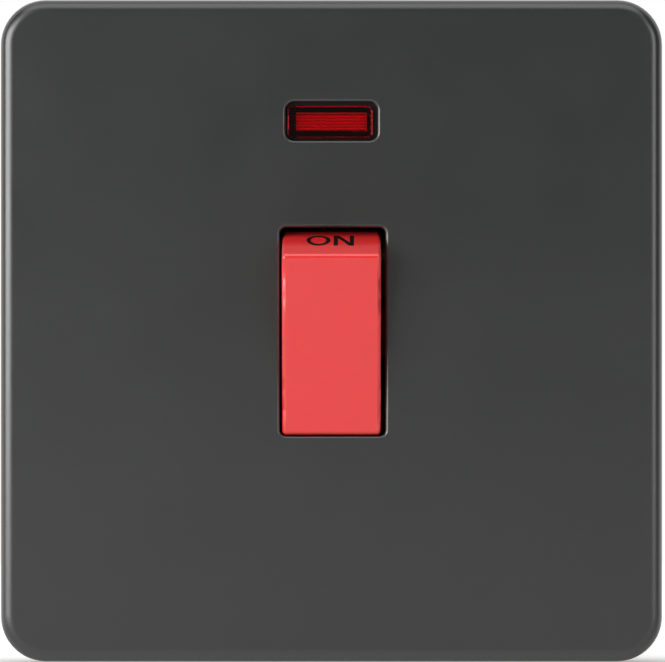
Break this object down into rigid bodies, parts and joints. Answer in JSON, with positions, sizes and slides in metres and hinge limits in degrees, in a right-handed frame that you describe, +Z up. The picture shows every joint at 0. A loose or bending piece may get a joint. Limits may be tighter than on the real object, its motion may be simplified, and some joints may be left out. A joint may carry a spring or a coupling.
{
  "type": "double pole switch",
  "caption": "Single gang double pole wall switch with a red rocker, a red neon window and a screwless satin grey metal plate.",
  "frame": {"origin": "middle of the plate on the wall's plane, which is also the rocker's pivot, midway between the two fixing slots", "axes": "+Y into the wall, +Z up, +X to the right seen from the front; the front faces -Y"},
  "size_m": [0.086, 0.0315, 0.086],
  "materials": {
    "plate_paint": "satin anthracite powder paint on steel",
    "black_moulding": "black moulded thermoset, fine matt",
    "white_moulding": "natural nylon",
    "red_gloss": "glossy red urea moulding",
    "red_lens": "clear red polycarbonate",
    "lamp_glass": "clear glass envelope",
    "resistor_lacquer": "tan lacquer",
    "zinc_steel": "zinc plated",
    "spring_steel": "bright spring steel",
    "screw_steel": "zinc plated screws",
    "brass": "drawn and pressed brass",
    "copper": "bright copper strip",
    "silver": "silver alloy tips",
    "tinned_wire": "tinned copper wire"
  },
  "bodies": {
    "frame": {"yoke": "zinc_steel", "plate_clip_top": "spring_steel", "plate_clip_right": "spring_steel", "plate_clip_bottom": "spring_steel", "plate_clip_left": "spring_steel", "switch_cover": "black_moulding", "switch_base": "black_moulding", "neon_lens": "red_lens", "neon_lamp": "lamp_glass", "neon_resistor": "resistor_lacquer", "neon_lead_live": "tinned_wire", "neon_lead_link": "tinned_wire", "neon_lead_neutral": "tinned_wire", "earth_terminal": "brass", "body_screw_1": "screw_steel", "body_screw_2": "screw_steel", "body_screw_3": "screw_steel", "body_screw_4": "screw_steel", "fixed_tip_live": "silver", "fulcrum_strip_live": "brass", "contact_strip_live": "brass", "terminal_load_live": "brass", "terminal_supply_live": "brass", "fixed_tip_neutral": "silver", "fulcrum_strip_neutral": "brass", "contact_strip_neutral": "brass", "terminal_load_neutral": "brass", "terminal_supply_neutral": "brass"},
    "plate": {"front_plate": "plate_paint", "plate_liner": "black_moulding"},
    "rocker": {"rocker": "red_gloss", "plunger_spring_live": "spring_steel", "plunger_spring_neutral": "spring_steel"},
    "plunger_live": {"plunger_live": "white_moulding"},
    "see_saw_live": {"see_saw_live": "copper", "moving_tip_live": "silver"},
    "clamp_screw_load_live": {"clamp_screw_load_live": "screw_steel"},
    "clamp_screw_supply_live": {"clamp_screw_supply_live": "screw_steel"},
    "plunger_neutral": {"plunger_neutral": "white_moulding"},
    "see_saw_neutral": {"see_saw_neutral": "copper", "moving_tip_neutral": "silver"},
    "clamp_screw_load_neutral": {"clamp_screw_load_neutral": "screw_steel"},
    "clamp_screw_supply_neutral": {"clamp_screw_supply_neutral": "screw_steel"},
    "earth_screw": {"earth_screw": "screw_steel"}
  },
  "joints": [
    {"name": "rocker_tilt", "type": "hinge", "parent": "frame", "child": "rocker", "pos_m": [0, 0, 0], "axis": [1, 0, 0], "range_deg": [-24, 0]},
    {"name": "plate_pull", "type": "slide", "parent": "frame", "child": "plate", "axis": [0, -1, 0], "range_m": [0, 0.02], "deforming": ["plate_clip_top", "plate_clip_right", "plate_clip_bottom", "plate_clip_left"]},
    {"name": "see_saw_live_tilt", "type": "hinge", "parent": "frame", "child": "see_saw_live", "pos_m": [0.0076, 0.0105, 0], "axis": [1, 0, 0], "range_deg": [0, 20]},
    {"name": "plunger_live_slide", "type": "slide", "parent": "rocker", "child": "plunger_live", "axis": [0, -0.9781, -0.2079], "range_m": [0, 0.001], "stiffness_N_per_m": 1500, "springref_m": -0.002, "deforming": ["plunger_spring_live"]},
    {"name": "see_saw_neutral_tilt", "type": "hinge", "parent": "frame", "child": "see_saw_neutral", "pos_m": [-0.0076, 0.0105, 0], "axis": [1, 0, 0], "range_deg": [0, 20]},
    {"name": "plunger_neutral_slide", "type": "slide", "parent": "rocker", "child": "plunger_neutral", "axis": [0, -0.9781, -0.2079], "range_m": [0, 0.001], "stiffness_N_per_m": 1500, "springref_m": -0.002, "deforming": ["plunger_spring_neutral"]},
    {"name": "clamp_load_live", "type": "slide", "parent": "frame", "child": "clamp_screw_load_live", "axis": [0, -1, 0], "range_m": [0, 0.004]},
    {"name": "clamp_supply_live", "type": "slide", "parent": "frame", "child": "clamp_screw_supply_live", "axis": [0, -1, 0], "range_m": [0, 0.004]},
    {"name": "clamp_load_neutral", "type": "slide", "parent": "frame", "child": "clamp_screw_load_neutral", "axis": [0, -1, 0], "range_m": [0, 0.004]},
    {"name": "clamp_supply_neutral", "type": "slide", "parent": "frame", "child": "clamp_screw_supply_neutral", "axis": [0, -1, 0], "range_m": [0, 0.004]},
    {"name": "clamp_earth", "type": "slide", "parent": "frame", "child": "earth_screw", "axis": [0, -1, 0], "range_m": [0, 0.003]}
  ],
  "couplings": [
    {"joint": "see_saw_live_tilt", "follows": "rocker_tilt", "ratio": -0.83333},
    {"joint": "see_saw_neutral_tilt", "follows": "rocker_tilt", "ratio": -0.83333}
  ]
}
